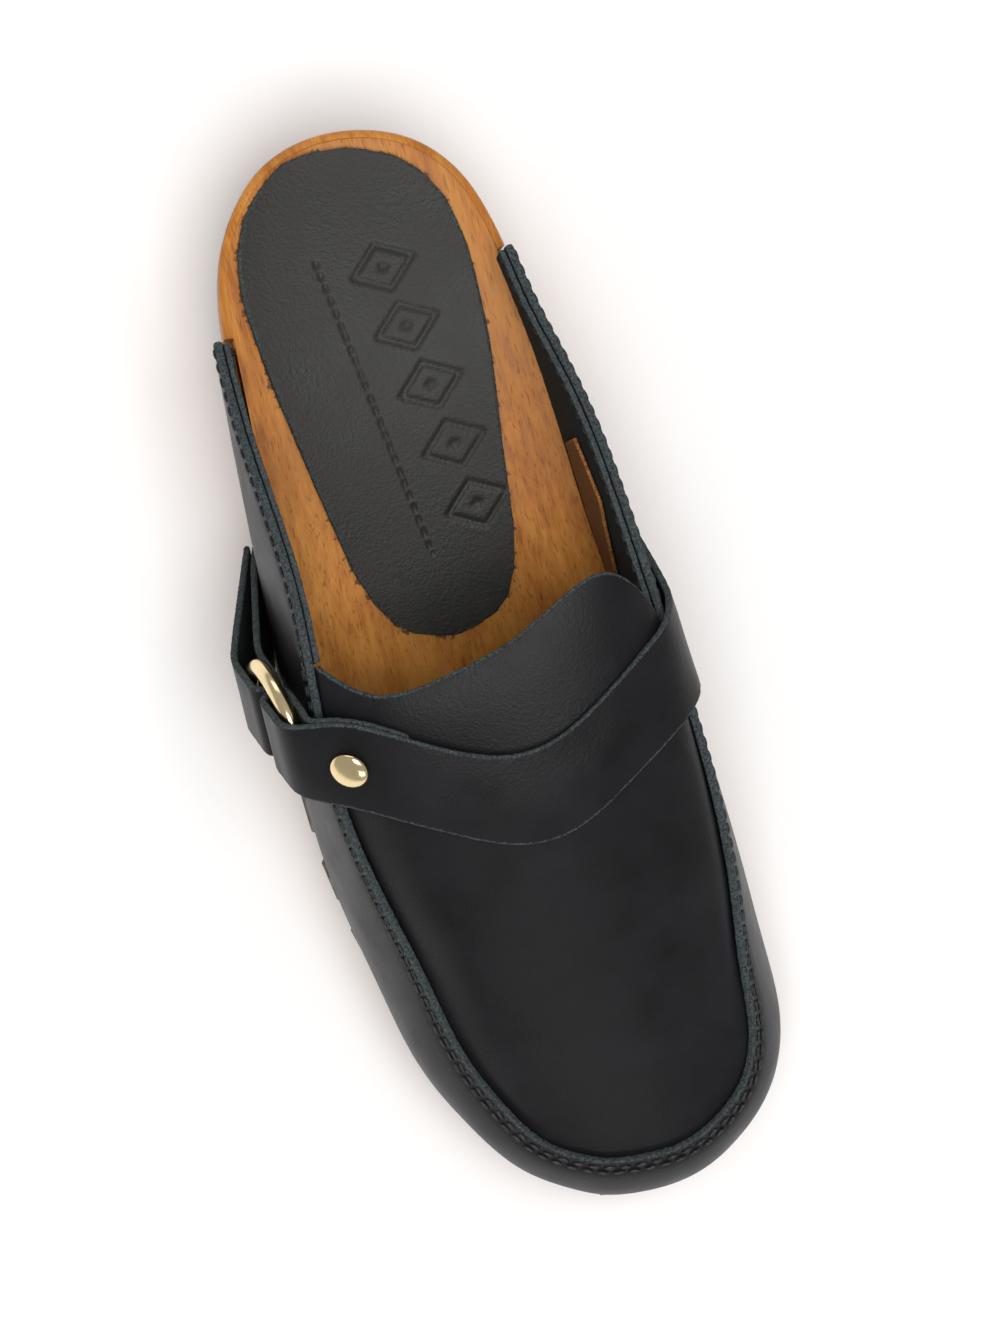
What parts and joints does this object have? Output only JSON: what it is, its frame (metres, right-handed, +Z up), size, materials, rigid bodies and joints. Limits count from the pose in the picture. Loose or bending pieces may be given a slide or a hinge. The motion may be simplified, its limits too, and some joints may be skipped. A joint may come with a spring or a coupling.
{
  "type": "clog",
  "caption": "Open-backed clog with a one-piece wooden sole, a stapled leather upper with a raised apron seam, and an instep strap on a ring.",
  "frame": {"origin": "on the floor under the middle of the clog's bounding box", "axes": "+X towards the outer side of a right foot, +Y towards the toe, +Z up"},
  "size_m": [0.1036, 0.2555, 0.103],
  "materials": {
    "wood": "stained and sealed, satin",
    "leather": "smooth black leather, low sheen",
    "pad": "thin black leather, matte",
    "lining": "black split leather, fuzzy",
    "tan": "tan leather, matte",
    "rubber": "moulded rubber",
    "gold": "polished pale gold plate",
    "steel": "plated staple wire"
  },
  "bodies": {
    "clog": {"apron": "leather", "forepart_outsole": "rubber", "heel_tread": "rubber", "instep_strap": "leather", "lining_inner": "lining", "lining_outer": "lining", "lining_patch": "tan", "rivet_back": "gold", "rivet_cap": "gold", "side_wrap": "leather", "sock_pad": "pad", "staple_01": "steel", "staple_02": "steel", "staple_03": "steel", "staple_04": "steel", "staple_05": "steel", "staple_06": "steel", "staple_07": "steel", "staple_08": "steel", "staple_09": "steel", "staple_10": "steel", "staple_11": "steel", "staple_12": "steel", "staple_13": "steel", "staple_14": "steel", "staple_15": "steel", "staple_16": "steel", "staple_17": "steel", "staple_18": "steel", "staple_19": "steel", "staple_20": "steel", "staple_21": "steel", "staple_22": "steel", "staple_23": "steel", "staple_24": "steel", "staple_25": "steel", "staple_26": "steel", "staple_27": "steel", "strap_tab": "leather", "wooden_sole": "wood"},
    "ring": {"ring": "gold"}
  },
  "joints": [
    {"name": "ring_turn", "type": "hinge", "parent": "clog", "child": "ring", "pos_m": [0.04565, -0.0007, 0.07486], "axis": [0.984, 0.1023, 0.1462], "continuous": true}
  ]
}
